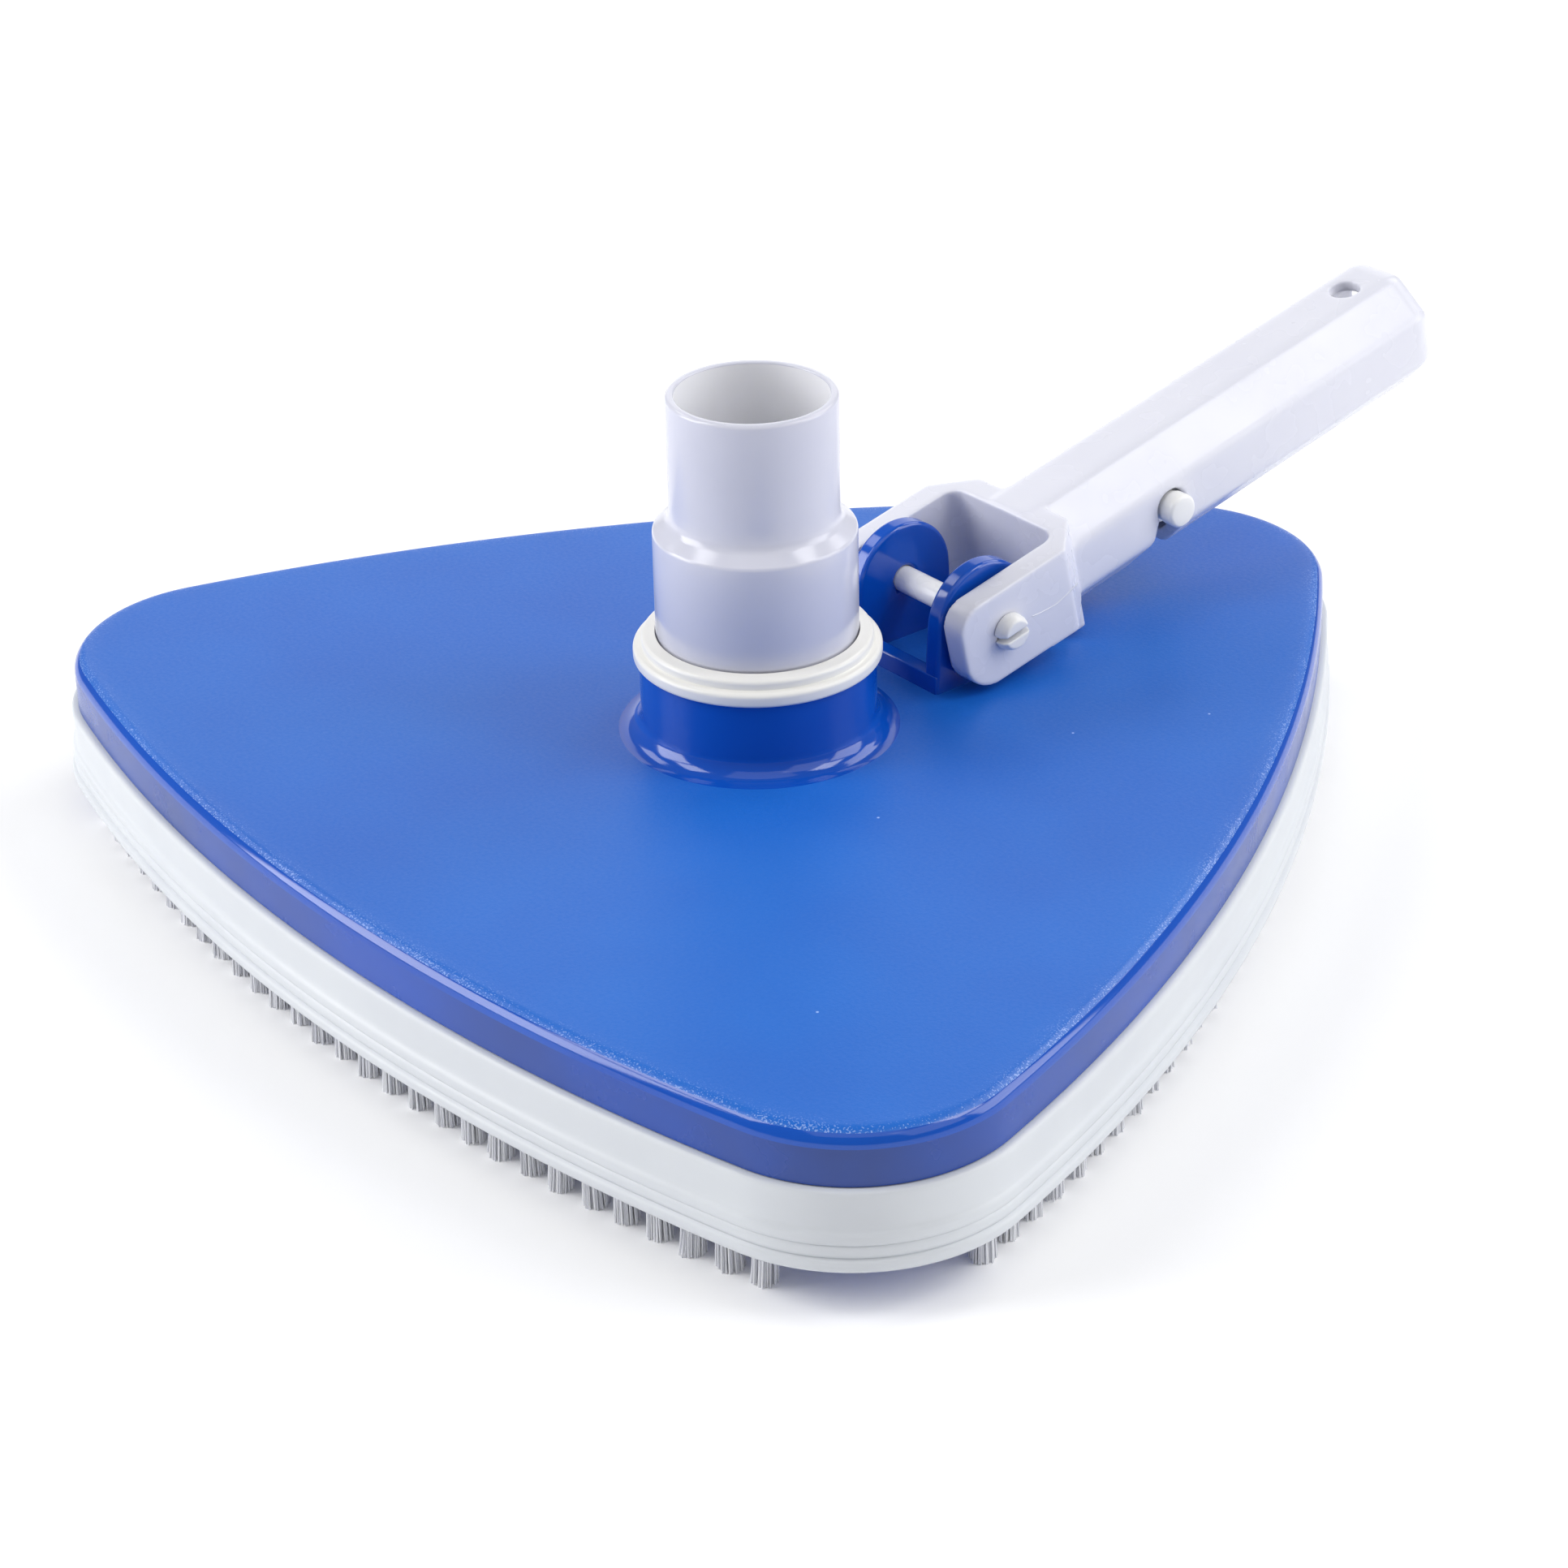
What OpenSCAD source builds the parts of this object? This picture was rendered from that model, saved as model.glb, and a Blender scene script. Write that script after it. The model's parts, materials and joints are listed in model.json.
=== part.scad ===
// Triangular weighted pool vacuum head: brush rows along three sides, a swivelling hose cuff
// and a clip handle hinged over one corner. Millimetres. The origin is on the hose axis, at the
// surface that the brush tips stand on. +Z is up, +Y points to the handle corner, and +X runs
// along the handle's hinge pin.

/* [Head outline] */
// Distance from the head's centre to the centre of each corner round
corner_reach = 110.4; // [104:0.2:116]
// Radius of each corner round
corner_r = 30.7; // [28:0.1:33]
// Radius of the gently bowed sides
side_r = 410; // [380:5:460]
// How far the head's centre sits behind the hose axis
head_setback = 2.3; // [1:0.1:3]

/* [Heights] */
// Length of bristle that shows below the bumper
bristle_show = 9.1; // [7:0.1:12]
// Height of the bumper band
bumper_h = 15; // [14:0.5:17]
// Height of the blue wall above the bumper
wall_h = 10.3; // [9.6:0.1:12]
// Wall thickness of the blue shell
shell_t = 2.4; // [2.2:0.1:3]
// Thickness of the base plate
base_t = 4; // [3.6:0.1:4.2]

/* [Hose cuff] */
// Outer radius of the lower hose step
hose_big_r = 19.05; // [18.8:0.05:19.3]
// Outer radius of the upper hose step
hose_small_r = 15.9; // [15.5:0.05:16.2]
// Height of the cuff's rim above the deck
cuff_h = 67.4; // [64:0.2:72]
// Height of the shoulder between the two hose steps above the deck
cuff_shoulder_h = 40.7; // [36:0.1:44]
// Outer radius of the neck that carries the cuff
neck_r = 22.3; // [22.2:0.1:22.6]

/* [Brush rows] */
// Number of tufts in each row
tufts_per_row = 29; // [21:2:31]
// Radius of a tuft at its tip
tuft_tip_r = 2.35; // [2:0.05:2.5]
// Radius of a tuft where it enters its bar
tuft_root_r = 1.95; // [1.6:0.05:2]
// Distance of the row's centre line in from the blue wall
row_inset = 4.5; // [4.5:0.1:5.5]
// Width of a brush bar
bar_w = 5.4; // [5:0.1:5.4]

/* [Handle] */
// Lean of the handle above level as it rests
rest_pitch = 12.8; // [12:0.1:16]
// Distance of the hinge pin from the hose axis
pin_y = 44.85; // [44:0.05:46]
// Height of the hinge pin above the deck
pin_rise = 12.4; // [12.4:0.1:13]
// Radius of the hinge pin
pin_r = 2.65; // [2.4:0.05:2.8]
// Distance from the pin to the far end of the handle
handle_reach = 126.4; // [110:0.2:140]
// Width across the flats of the eight-sided handle
handle_w = 25.4; // [24.6:0.1:26]
// Wall thickness of the handle
handle_t = 2.6; // [2:0.1:3]
// Radius of the clip buttons
button_r = 3.45; // [3:0.05:3.6]
// How far a clip button stands out of the handle
button_out = 3.2; // [2.6:0.1:3.6]
// Radius of the cross hole at the far end
bolt_hole_r = 3.15; // [2.6:0.05:3.3]

/* [Hidden] */

// Curve fineness: round parts, the brush bars' bow, and the steps along a side and round a corner
$fn = 64;
bow_fn = 720;
side_steps = 36;
corner_steps = 24;

// Small gaps: between pieces that only touch, between moving pieces, in a running fit and a tight one
seat_gap = 0.1;
free_gap = 0.3;
run_gap = 0.05;
press_gap = 0.02;
// Overlap that makes a cut pass clean through a face
over = 1;

// Corners of the head, measured from +X
corner_angles = [90, 210, 330];
// Angle from a side's middle to the point where a corner round begins
bow = asin(corner_reach * sin(60) / (side_r - corner_r));
// Centre of a side's arc, measured from the head's centre towards the opposite corner
side_centre = (side_r - corner_r) * cos(bow) - corner_reach * cos(60);

// Levels above the standing surface
bumper_z = bristle_show;
bumper_top_z = bumper_z + bumper_h;
deck_z = bumper_top_z + wall_h;
base_z = bumper_z + 0.5;
base_top_z = base_z + base_t;
ceiling_z = deck_z - shell_t;
// The wall steps in where the bumper wraps it, and the bumper's lip hooks under the base plate
bumper_seat = 0.8;
bumper_lip = 0.8;

// Bumper ribs, from the top band down: [lower level as a share of the height, how far it stands out]
bumper_ribs = [[0.48, 1.3], [0.29, 1.9], [0, 2.4]];
bumper_groove_w = 0.5;
bumper_groove_d = 0.7;

// Neck, collar and swivel levels above the deck
neck_round = 4;
neck_shoulder_h = 14.9;
neck_top_h = 16.4;
neck_lip_r = 20.9;
flange_h = [neck_top_h + free_gap, 18.2];
flange_r = 20.6;
collar_r = 23.4;
collar_upper_r = 21.8;
collar_step_h = 17.6;
collar_top_h = 20;
neck_bore_r = 18.4;
skirt_r = neck_bore_r - run_gap;
skirt_h = 6;
// The cuff is slimmer where the collar surrounds it, so the hose step starts just above the collar
cuff_relief_r = hose_big_r - 0.2;
hose_step_h = collar_top_h + free_gap;
seal_minor_r = 1.15;
seal_h = 10;
seal_major_r = skirt_r - seal_minor_r;
throat_t = 2.4;
// Bores of the cuff's two steps
cuff_big_bore_r = hose_big_r - 3.2;
cuff_small_bore_r = hose_small_r - 1.6;
cuff_cone_h = 3;
// Levels where the bore narrows, measured from the outside shoulder
bore_cone_low = -2.1;
bore_cone_high = 1.5;
rim_round = 0.75;

// Hinge ears of the shell
ear_outer_x = 13.6;
ear_t = 3.9;
ear_r = 11.7;
ear_foot = [32.4, 57.4];
ear_wall_h = 3.6;
ear_wall_t = 3.3;
pin_z = deck_z + pin_rise;
// Heads of the hinge pin, which is split at its snap end
pin_head_r = pin_r + 1.05;
pin_head_h = 2.8;
pin_head_lift = 0.4;
pin_cap_r = pin_r + 1.4;
pin_cap_t = 1.6;
pin_slot_w = 1.2;
pin_slot_len = 5;

// Fork of the handle, in the handle's own frame: the pin is the origin and the tube runs along +Y
arm_inner_x = 14.8;
arm_outer_x = 20.2;
arm_back_y = 16.9;
fork_end_y = 24.6;
crotch_y = 19.4;
crotch_round = 3.5;
axis_drop = 3.4;
fork_top = 12.4 - axis_drop;
// Rounds of the fork's side outline: [along the handle, up, radius]
arm_rounds = [[-3.9, -2.5, 7.3], [-5.9, 3.6, 5.3], [fork_end_y - 1, -8.7, 1.5], [fork_end_y, 8, 1]];
// The heel under the crotch, which the handle rests on
heel_len = 4.2;
heel_clear = 0.35;
button_y = 50.9;
bolt_y = 115.4;
tube_round = 3;
// Window under the buttons: [along the handle, up from the tube's centre line]
window = [[47.6, -1], [43, -9.5], [43, -20], [53.4, -20], [53.4, -1]];

// V spring that pushes the buttons out
spring_t = 0.9;
spring_w = 8;
spring_bend_y = 86;
spring_bend_r = 4;
button_head_r = 4.1;
button_head_t = 1.2;
button_round = 0.6;
button_stem_r = button_r - 0.3;
button_seat_x = handle_w / 2 - handle_t - free_gap;

// Brush rows
row_r = side_r - row_inset;
tuft_pitch_deg = 1.052;
row_half_deg = (tufts_per_row - 1) / 2 * tuft_pitch_deg;
bar_end_deg = 0.62;
bar_z = base_z - 0.2;
bar_h = 3.2;
tuft_depth = 2.6;
brush_screw_r = 0.9;
brush_screw_head_r = 1.2;
brush_screw_head_h = 1;
// How far a screw's tip stays off the face it is driven towards
brush_screw_tip = 0.8;
// Tuft gaps that hold a screw, counted from the row's middle
brush_screw_gaps = [-10.5, -0.5, 10.5];

// Ballast weights and screws
weight_r = 24;
weight_h = 14;
weight_reach = 92;
weight_bore_r = 4.6;
weight_round = 2;
boss_r = 4;
screw_r = 1.7;
screw_head_r = 3.4;
screw_head_h = 2.2;
screw_len = 13;
inner_screw_reach = 62;
// How deep a screw's head sits under the plate's face, and the cross slot in the head
screw_sink = 0.2;
slot_len = 4;
slot_w = 0.8;
slot_deep = 1.2;

// Ribs under the base plate, the upstand round each weight and the flare of the suction port
rib_from = 30;
rib_len = 48;
rib_w = 2;
pocket_wall = 2;
pocket_h = 3;
port_flare = 3;
port_flare_h = 2;

// Half section of a disc whose top edge is rounded by edge
module rim_section(r, z0, z1, edge) {
    square_h = z1 - z0;
    translate([0, z0]) square([r - edge, square_h]);
    translate([0, z0]) square([r, square_h - edge]);
    translate([r - edge, z1 - edge]) circle(edge);
}

// Points of an arc about centre, from angle a0 to a1
function arc_points(centre, r, a0, a1, steps) =
    [for (k = [0:steps]) let (a = a0 + (a1 - a0) * k / steps) centre + r * [cos(a), sin(a)]];

// Outline of the head, grown outward by grow: a corner round, then the bowed side that follows it
function head_outline(grow) = [
    for (a = corner_angles)
        let (
            round_half = 60 - bow,
            corner = corner_reach * [cos(a), sin(a)],
            middle = side_centre * [cos(a + 240), sin(a + 240)],
            side_points = arc_points(middle, side_r + grow, a + round_half, a + round_half + 2 * bow, side_steps)
        )
        for (p = concat(
            arc_points(corner, corner_r + grow, a - round_half, a + round_half, corner_steps),
            [for (k = [1:side_steps - 1]) side_points[k]]
        )) p
];

// Solid with the head's outline, grown outward by grow
module head_slab(grow, z0, z1) {
    translate([0, -head_setback, z0]) linear_extrude(z1 - z0) polygon(head_outline(grow));
}

// Copies its children at each corner weight and each inner screw
module at_weights() {
    for (a = corner_angles)
        translate([0, -head_setback, 0]) rotate(a) translate([weight_reach, 0, 0]) children();
}

module at_inner_screws() {
    for (a = corner_angles)
        translate([0, -head_setback, 0]) rotate(a + 180) translate([inner_screw_reach, 0, 0]) children();
}

// Places children drawn in the handle's own frame
module on_handle() {
    translate([0, pin_y, pin_z]) rotate([rest_pitch, 0, 0]) children();
}

// Extrudes a drawing of X across and Z up along the handle, from y0 to y1
module along_handle(y0, y1) {
    translate([0, y1, -axis_drop]) rotate([90, 0, 0]) linear_extrude(y1 - y0) children();
}

// Extrudes a drawing of Y along and Z up sideways, from x0 to x1
module across(x0, x1) {
    translate([x0, 0, 0]) rotate([90, 0, 90]) linear_extrude(x1 - x0) children();
}

// Eight-sided section with rounded corners
function octagon_points(width, round_r, steps = 4) =
    let (reach = (width / 2 - round_r) / cos(22.5))
    [for (i = [0:7], k = [0:steps])
        let (corner = 22.5 + 45 * i, a = 45 * i + 45 * k / steps)
        [reach * cos(corner) + round_r * cos(a), reach * sin(corner) + round_r * sin(a)]];

module top_shell() {
    color("royalblue") difference() {
        union() {
            head_slab(0, bumper_top_z, deck_z);
            head_slab(-bumper_seat, base_top_z, bumper_top_z + over);
            neck_outside();
            hinge_ears();
        }
        difference() {
            head_slab(-bumper_seat - shell_t, base_top_z - over, ceiling_z);
            throat_wall();
            at_weights() screw_boss();
            at_inner_screws() screw_boss();
        }
        translate([0, 0, base_top_z - over]) cylinder(h = deck_z + neck_top_h, r = neck_bore_r);
        at_weights() screw_hole();
        at_inner_screws() screw_hole();
        translate([-ear_outer_x - over, pin_y, pin_z]) rotate([0, 90, 0])
            cylinder(h = 2 * (ear_outer_x + over), r = pin_r + run_gap);
    }
}

// Neck with a coved foot and a narrower lip that the collar grips
module neck_outside() {
    translate([0, 0, deck_z]) rotate_extrude() {
        square([neck_r, neck_shoulder_h]);
        square([neck_lip_r, neck_top_h]);
        difference() {
            translate([0, -over]) square([neck_r + neck_round, neck_round + over]);
            translate([neck_r + neck_round, neck_round]) circle(neck_round);
        }
    }
}

// Tube inside the shell that carries the water from the base to the neck
module throat_wall() {
    translate([0, 0, base_top_z]) cylinder(h = ceiling_z - base_top_z + over, r = neck_bore_r + throat_t);
}

module screw_boss() {
    translate([0, 0, base_top_z]) cylinder(h = ceiling_z - base_top_z + over, r = boss_r);
}

module screw_hole() {
    translate([0, 0, base_top_z - over]) cylinder(h = screw_len, r = screw_r);
}

// Two ears joined by a low wall on the side of the neck
module hinge_ears() {
    for (side = [-1, 1])
        translate([side * (ear_outer_x - ear_t / 2), 0, 0]) across(-ear_t / 2, ear_t / 2) ear_outline();
    translate([-ear_outer_x, ear_foot[0], deck_z - over])
        cube([2 * ear_outer_x, ear_wall_t, ear_wall_h + over]);
}

module ear_outline() {
    hull() {
        translate([pin_y, pin_z]) circle(ear_r);
        translate([ear_foot[0], deck_z - over]) square([ear_foot[1] - ear_foot[0], over]);
    }
}

module bumper() {
    color("whitesmoke") difference() {
        for (i = [0:len(bumper_ribs) - 1]) {
            z0 = bumper_z + bumper_ribs[i][0] * bumper_h;
            z1 = i == 0 ? bumper_top_z : bumper_z + bumper_ribs[i - 1][0] * bumper_h;
            groove = i == 0 ? 0 : bumper_groove_w;
            head_slab(bumper_ribs[i][1], z0, z1 - groove);
            if (i > 0) head_slab(bumper_ribs[i - 1][1] - bumper_groove_d, z0, z1);
        }
        head_slab(-bumper_seat, base_z, bumper_top_z + over);
        head_slab(-bumper_seat - bumper_lip, bumper_z - over, bumper_top_z + over);
    }
}

module base_plate() {
    color("royalblue") difference() {
        union() {
            head_slab(-bumper_seat, base_z, base_top_z);
            for (a = corner_angles, spread = [-20, 0, 20]) skid_rib(a + spread);
            at_weights() weight_pocket();
        }
        for (a = corner_angles) brush_bar_solid(a, seat_gap);
        translate([0, 0, -over]) cylinder(h = deck_z, r = neck_bore_r);
        translate([0, 0, base_z - over])
            cylinder(h = over + port_flare_h, r1 = neck_bore_r + port_flare, r2 = neck_bore_r);
        at_weights() screw_seat();
        at_inner_screws() screw_seat();
        for (a = corner_angles) at_brush_screws(a)
            translate([0, 0, base_z]) cylinder(h = base_t + over, r = brush_screw_r + seat_gap);
    }
}

// Shallow rib under the plate that keeps the head off the floor and steers the water
module skid_rib(a) {
    translate([0, -head_setback, base_z - rib_w]) rotate(a) translate([rib_from, -rib_w / 2, 0])
        cube([rib_len, rib_w, rib_w + over]);
}

// Upstand round each weight
module weight_pocket() {
    translate([0, 0, base_top_z - over]) difference() {
        cylinder(h = over + pocket_h, r = weight_r + pocket_wall);
        translate([0, 0, -over]) cylinder(h = 3 * over + pocket_h, r = weight_r + seat_gap);
    }
}

module screw_seat() {
    translate([0, 0, base_z - over]) cylinder(h = base_t + 2 * over, r = screw_r + seat_gap);
    translate([0, 0, base_z - over])
        cylinder(h = screw_head_h + over + screw_sink + seat_gap, r = screw_head_r + 2 * seat_gap);
}

// Bar that follows the bow of one side; a is the opposite corner's angle
module brush_bar_solid(a, gap = 0) {
    half = row_half_deg + bar_end_deg;
    translate([0, -head_setback, bar_z]) rotate(a) translate([side_centre, 0, 0]) rotate(180 - half)
        rotate_extrude(angle = 2 * half, $fn = bow_fn)
            translate([row_r - bar_w / 2 - gap, 0]) square([bar_w + 2 * gap, bar_h + gap]);
}

// Copies its children at tuft position k, counted from the row's middle
module at_tuft(a, k) {
    translate([0, -head_setback, 0]) rotate(a) translate([side_centre, 0, 0])
        rotate(180 + k * tuft_pitch_deg) translate([row_r, 0, 0]) children();
}

module at_brush_screws(a) {
    for (k = brush_screw_gaps) at_tuft(a, k) children();
}

module brush_bar(a) {
    color("white") difference() {
        brush_bar_solid(a);
        for (k = [-(tufts_per_row - 1) / 2:(tufts_per_row - 1) / 2])
            at_tuft(a, k) translate([0, 0, bar_z - over])
                cylinder(h = tuft_depth + over, r = tuft_root_r + press_gap);
        at_brush_screws(a) translate([0, 0, bar_z + brush_screw_tip]) cylinder(h = bar_h, r = brush_screw_r);
    }
}

module bristles(a) {
    color("gainsboro")
        for (k = [-(tufts_per_row - 1) / 2:(tufts_per_row - 1) / 2])
            at_tuft(a, k) {
                cylinder(h = bar_z, r1 = tuft_tip_r, r2 = tuft_root_r, $fn = 24);
                cylinder(h = bar_z + tuft_depth, r = tuft_root_r, $fn = 24);
            }
}

module brush_screws() {
    tip_z = bar_z + brush_screw_tip;
    color("silver") for (a = corner_angles) at_brush_screws(a) {
        translate([0, 0, tip_z]) cylinder(h = base_top_z - tip_z + over / 2, r = brush_screw_r, $fn = 24);
        translate([0, 0, base_top_z]) cylinder(h = brush_screw_head_h, r = brush_screw_head_r, $fn = 24);
    }
}

module ballast_weight(a) {
    color("dimgray") translate([0, -head_setback, base_top_z]) rotate(a) translate([weight_reach, 0, 0])
        difference() {
            rotate_extrude() intersection() {
                rim_section(weight_r, 0, weight_h, weight_round);
                square(2 * weight_r);
            }
            translate([0, 0, -over]) cylinder(h = weight_h + 2 * over, r = weight_bore_r);
        }
}

module base_screws() {
    color("silver") {
        at_weights() base_screw();
        at_inner_screws() base_screw();
    }
}

module base_screw() {
    difference() {
        union() {
            translate([0, 0, base_z + screw_sink]) cylinder(h = screw_head_h, r = screw_head_r);
            translate([0, 0, base_z + screw_sink]) cylinder(h = screw_len, r = screw_r);
        }
        for (turn = [0, 90])
            rotate(turn) translate([-slot_len / 2, -slot_w / 2, base_z + screw_sink - over])
                cube([slot_len, slot_w, slot_deep + over]);
    }
}

module swivel_collar() {
    color("ivory") translate([0, 0, deck_z]) difference() {
        rotate_extrude() intersection() {
            union() {
                rim_section(collar_r, neck_shoulder_h, collar_step_h, rim_round);
                rim_section(collar_upper_r, neck_shoulder_h, collar_top_h, rim_round);
            }
            square(2 * collar_r);
        }
        translate([0, 0, neck_shoulder_h - over])
            cylinder(h = flange_h[1] + free_gap - neck_shoulder_h + over, r = neck_lip_r + seat_gap);
        cylinder(h = collar_top_h + over, r = cuff_relief_r + free_gap);
    }
}

module swivel_cuff() {
    color("white") translate([0, 0, deck_z]) rotate_extrude() difference() {
        intersection() {
            union() {
                translate([0, skirt_h]) square([skirt_r, flange_h[0] - skirt_h + over]);
                translate([0, flange_h[0]]) square([flange_r, flange_h[1] - flange_h[0]]);
                translate([0, flange_h[0]]) square([cuff_relief_r, cuff_shoulder_h - flange_h[0]]);
                translate([0, hose_step_h]) square([hose_big_r, cuff_shoulder_h - hose_step_h]);
                polygon([
                    [0, cuff_shoulder_h - over], [hose_big_r, cuff_shoulder_h - over],
                    [hose_big_r, cuff_shoulder_h], [hose_small_r, cuff_shoulder_h + cuff_cone_h],
                    [0, cuff_shoulder_h + cuff_cone_h]
                ]);
                rim_section(hose_small_r, cuff_shoulder_h, cuff_h, rim_round);
            }
            square(2 * cuff_h);
        }
        polygon([
            [0, skirt_h - over], [cuff_big_bore_r, skirt_h - over],
            [cuff_big_bore_r, cuff_shoulder_h + bore_cone_low],
            [cuff_small_bore_r, cuff_shoulder_h + bore_cone_high],
            [cuff_small_bore_r, cuff_h + over], [0, cuff_h + over]
        ]);
        translate([seal_major_r, seal_h]) circle(seal_minor_r + press_gap);
        translate([seal_major_r, seal_h - seal_minor_r - press_gap])
            square([2 * seal_minor_r, 2 * (seal_minor_r + press_gap)]);
    }
}

module swivel_seal() {
    color("black") translate([0, 0, deck_z + seal_h]) rotate_extrude()
        translate([seal_major_r, 0]) circle(seal_minor_r, $fn = 32);
}

module handle_fork() {
    color("white") on_handle() difference() {
        union() {
            intersection() {
                fork_plan();
                across(-arm_outer_x - over, arm_outer_x + over) arm_outline();
            }
            intersection() {
                fork_plan();
                heel();
            }
            along_handle(fork_end_y - heel_len, handle_reach) polygon(octagon_points(handle_w, tube_round));
        }
        along_handle(fork_end_y, handle_reach + over)
            polygon(octagon_points(handle_w - 2 * handle_t, tube_round - 1));
        rotate([0, 90, 0]) translate([0, 0, -arm_outer_x - over])
            cylinder(h = 2 * (arm_outer_x + over), r = pin_r + press_gap);
        translate([-handle_w, button_y, -axis_drop]) rotate([0, 90, 0])
            cylinder(h = 2 * handle_w, r = button_r + free_gap);
        translate([0, bolt_y, -axis_drop - handle_w]) cylinder(h = 2 * handle_w, r = bolt_hole_r);
        across(-handle_w, handle_w) translate([0, -axis_drop]) polygon(window);
    }
}

// Fork seen from above: two arms, a rounded crotch and shoulders that narrow to the tube
module fork_plan() {
    translate([0, 0, -2 * handle_w]) linear_extrude(4 * handle_w) difference() {
        polygon([
            [-arm_outer_x, -handle_w], [arm_outer_x, -handle_w], [arm_outer_x, arm_back_y],
            [handle_w / 2, fork_end_y], [-handle_w / 2, fork_end_y], [-arm_outer_x, arm_back_y]
        ]);
        translate([-arm_inner_x, -handle_w - over])
            square([2 * arm_inner_x, handle_w + over + crotch_y - crotch_round]);
        translate([-arm_inner_x + crotch_round, 0]) square([2 * (arm_inner_x - crotch_round), crotch_y]);
        for (side = [-1, 1])
            translate([side * (arm_inner_x - crotch_round), crotch_y - crotch_round]) circle(crotch_round);
    }
}

module arm_outline() {
    hull() for (c = arm_rounds) translate([c[0], c[1]]) circle(c[2], $fn = 32);
}

// Block behind the crotch, from the fork's top down to just above the deck
module heel() {
    drop = (pin_rise - heel_clear + crotch_y * sin(rest_pitch)) / cos(rest_pitch);
    translate([-handle_w / 2, crotch_y, -drop]) cube([handle_w, heel_len + over, drop + fork_top]);
}

module pivot_pin() {
    color("white") on_handle() rotate([0, 90, 0]) {
        difference() {
            union() {
                translate([0, 0, -arm_outer_x]) cylinder(h = 2 * arm_outer_x + 2 * seat_gap, r = pin_r);
                translate([0, 0, -arm_outer_x - pin_cap_t]) cylinder(h = pin_cap_t, r = pin_cap_r);
                translate([0, 0, arm_outer_x + seat_gap]) pin_barb();
            }
            translate([-pin_slot_w / 2, -2 * pin_r, arm_outer_x - pin_slot_len])
                cube([pin_slot_w, 4 * pin_r, 2 * pin_slot_len]);
        }
    }
}

// Rounded snap head of the split pin
module pin_barb() {
    rotate_extrude() intersection() {
        translate([0, pin_head_lift]) circle(pin_head_r);
        square([2 * pin_r, pin_head_h]);
    }
}

// Points of a half turn about the spring's bend, from one leg to the other
function bend_points(r) =
    [for (a = [0:15:180]) [r * cos(a), spring_bend_y + r * sin(a)]];

// Strip bent into a V: its legs lie just behind the buttons' heads
module clip_spring() {
    leg_x = button_seat_x - button_head_t - free_gap;
    leg_y = button_y - button_r;
    color("gainsboro") on_handle() translate([0, 0, -axis_drop - spring_w / 2]) linear_extrude(spring_w)
        polygon(concat(
            [[leg_x, leg_y]], bend_points(spring_bend_r), [[-leg_x, leg_y], [spring_t - leg_x, leg_y]],
            [for (k = [12:-1:0]) bend_points(spring_bend_r - spring_t)[k]], [[leg_x - spring_t, leg_y]]
        ));
}

// Button whose wide head stays inside the tube
module clip_button(side) {
    stem = handle_w / 2 - button_seat_x;
    place = [side * button_seat_x, button_y, -axis_drop];
    color("white") on_handle() translate(place) rotate([0, side * 90, 0]) {
        translate([0, 0, -button_head_t]) cylinder(h = button_head_t, r = button_head_r);
        cylinder(h = stem + over, r = button_stem_r);
        translate([0, 0, stem + seat_gap]) rotate_extrude() intersection() {
            rim_section(button_r, 0, button_out - seat_gap, button_round);
            square(2 * button_out);
        }
    }
}

top_shell();
bumper();
base_plate();
brush_bar(corner_angles[0]);  // brush_bar_rear
brush_bar(corner_angles[1]);  // brush_bar_right
brush_bar(corner_angles[2]);  // brush_bar_left
bristles(corner_angles[0]);  // bristles_rear
bristles(corner_angles[1]);  // bristles_right
bristles(corner_angles[2]);  // bristles_left
brush_screws();
ballast_weight(corner_angles[0]);  // ballast_weight_front
ballast_weight(corner_angles[2]);  // ballast_weight_right
ballast_weight(corner_angles[1]);  // ballast_weight_left
base_screws();
swivel_collar();
swivel_cuff();
swivel_seal();
handle_fork();
pivot_pin();
clip_spring();
clip_button(1);  // clip_button_right
clip_button(-1);  // clip_button_left
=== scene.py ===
import json
import math
import random

import bpy
from mathutils import Matrix, Vector


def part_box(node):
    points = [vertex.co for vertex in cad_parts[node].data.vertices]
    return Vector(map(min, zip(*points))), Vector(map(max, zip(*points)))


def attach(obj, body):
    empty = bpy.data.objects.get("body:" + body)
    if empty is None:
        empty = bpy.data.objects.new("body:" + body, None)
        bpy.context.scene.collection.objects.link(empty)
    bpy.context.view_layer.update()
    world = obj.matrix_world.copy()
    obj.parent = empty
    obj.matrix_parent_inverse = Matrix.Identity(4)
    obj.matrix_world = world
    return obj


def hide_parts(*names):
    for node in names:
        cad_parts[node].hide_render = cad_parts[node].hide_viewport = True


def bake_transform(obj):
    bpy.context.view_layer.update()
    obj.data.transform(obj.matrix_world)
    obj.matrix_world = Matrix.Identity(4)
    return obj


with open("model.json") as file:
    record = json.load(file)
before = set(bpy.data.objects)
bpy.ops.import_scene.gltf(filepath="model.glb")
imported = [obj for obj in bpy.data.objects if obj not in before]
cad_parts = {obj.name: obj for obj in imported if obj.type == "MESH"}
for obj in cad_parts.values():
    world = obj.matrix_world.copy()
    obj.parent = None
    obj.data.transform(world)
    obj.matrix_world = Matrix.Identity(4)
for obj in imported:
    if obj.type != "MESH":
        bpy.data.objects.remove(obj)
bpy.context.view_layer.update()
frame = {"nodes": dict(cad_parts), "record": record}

record = frame["record"]
mm = 0.001


def mountOf(name):
    return next(m for m in record["mounts"] if m["name"] == name)


def jointOf(name):
    return next(j for j in record["behaviour"]["joints"] if j["name"] == name)


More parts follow.
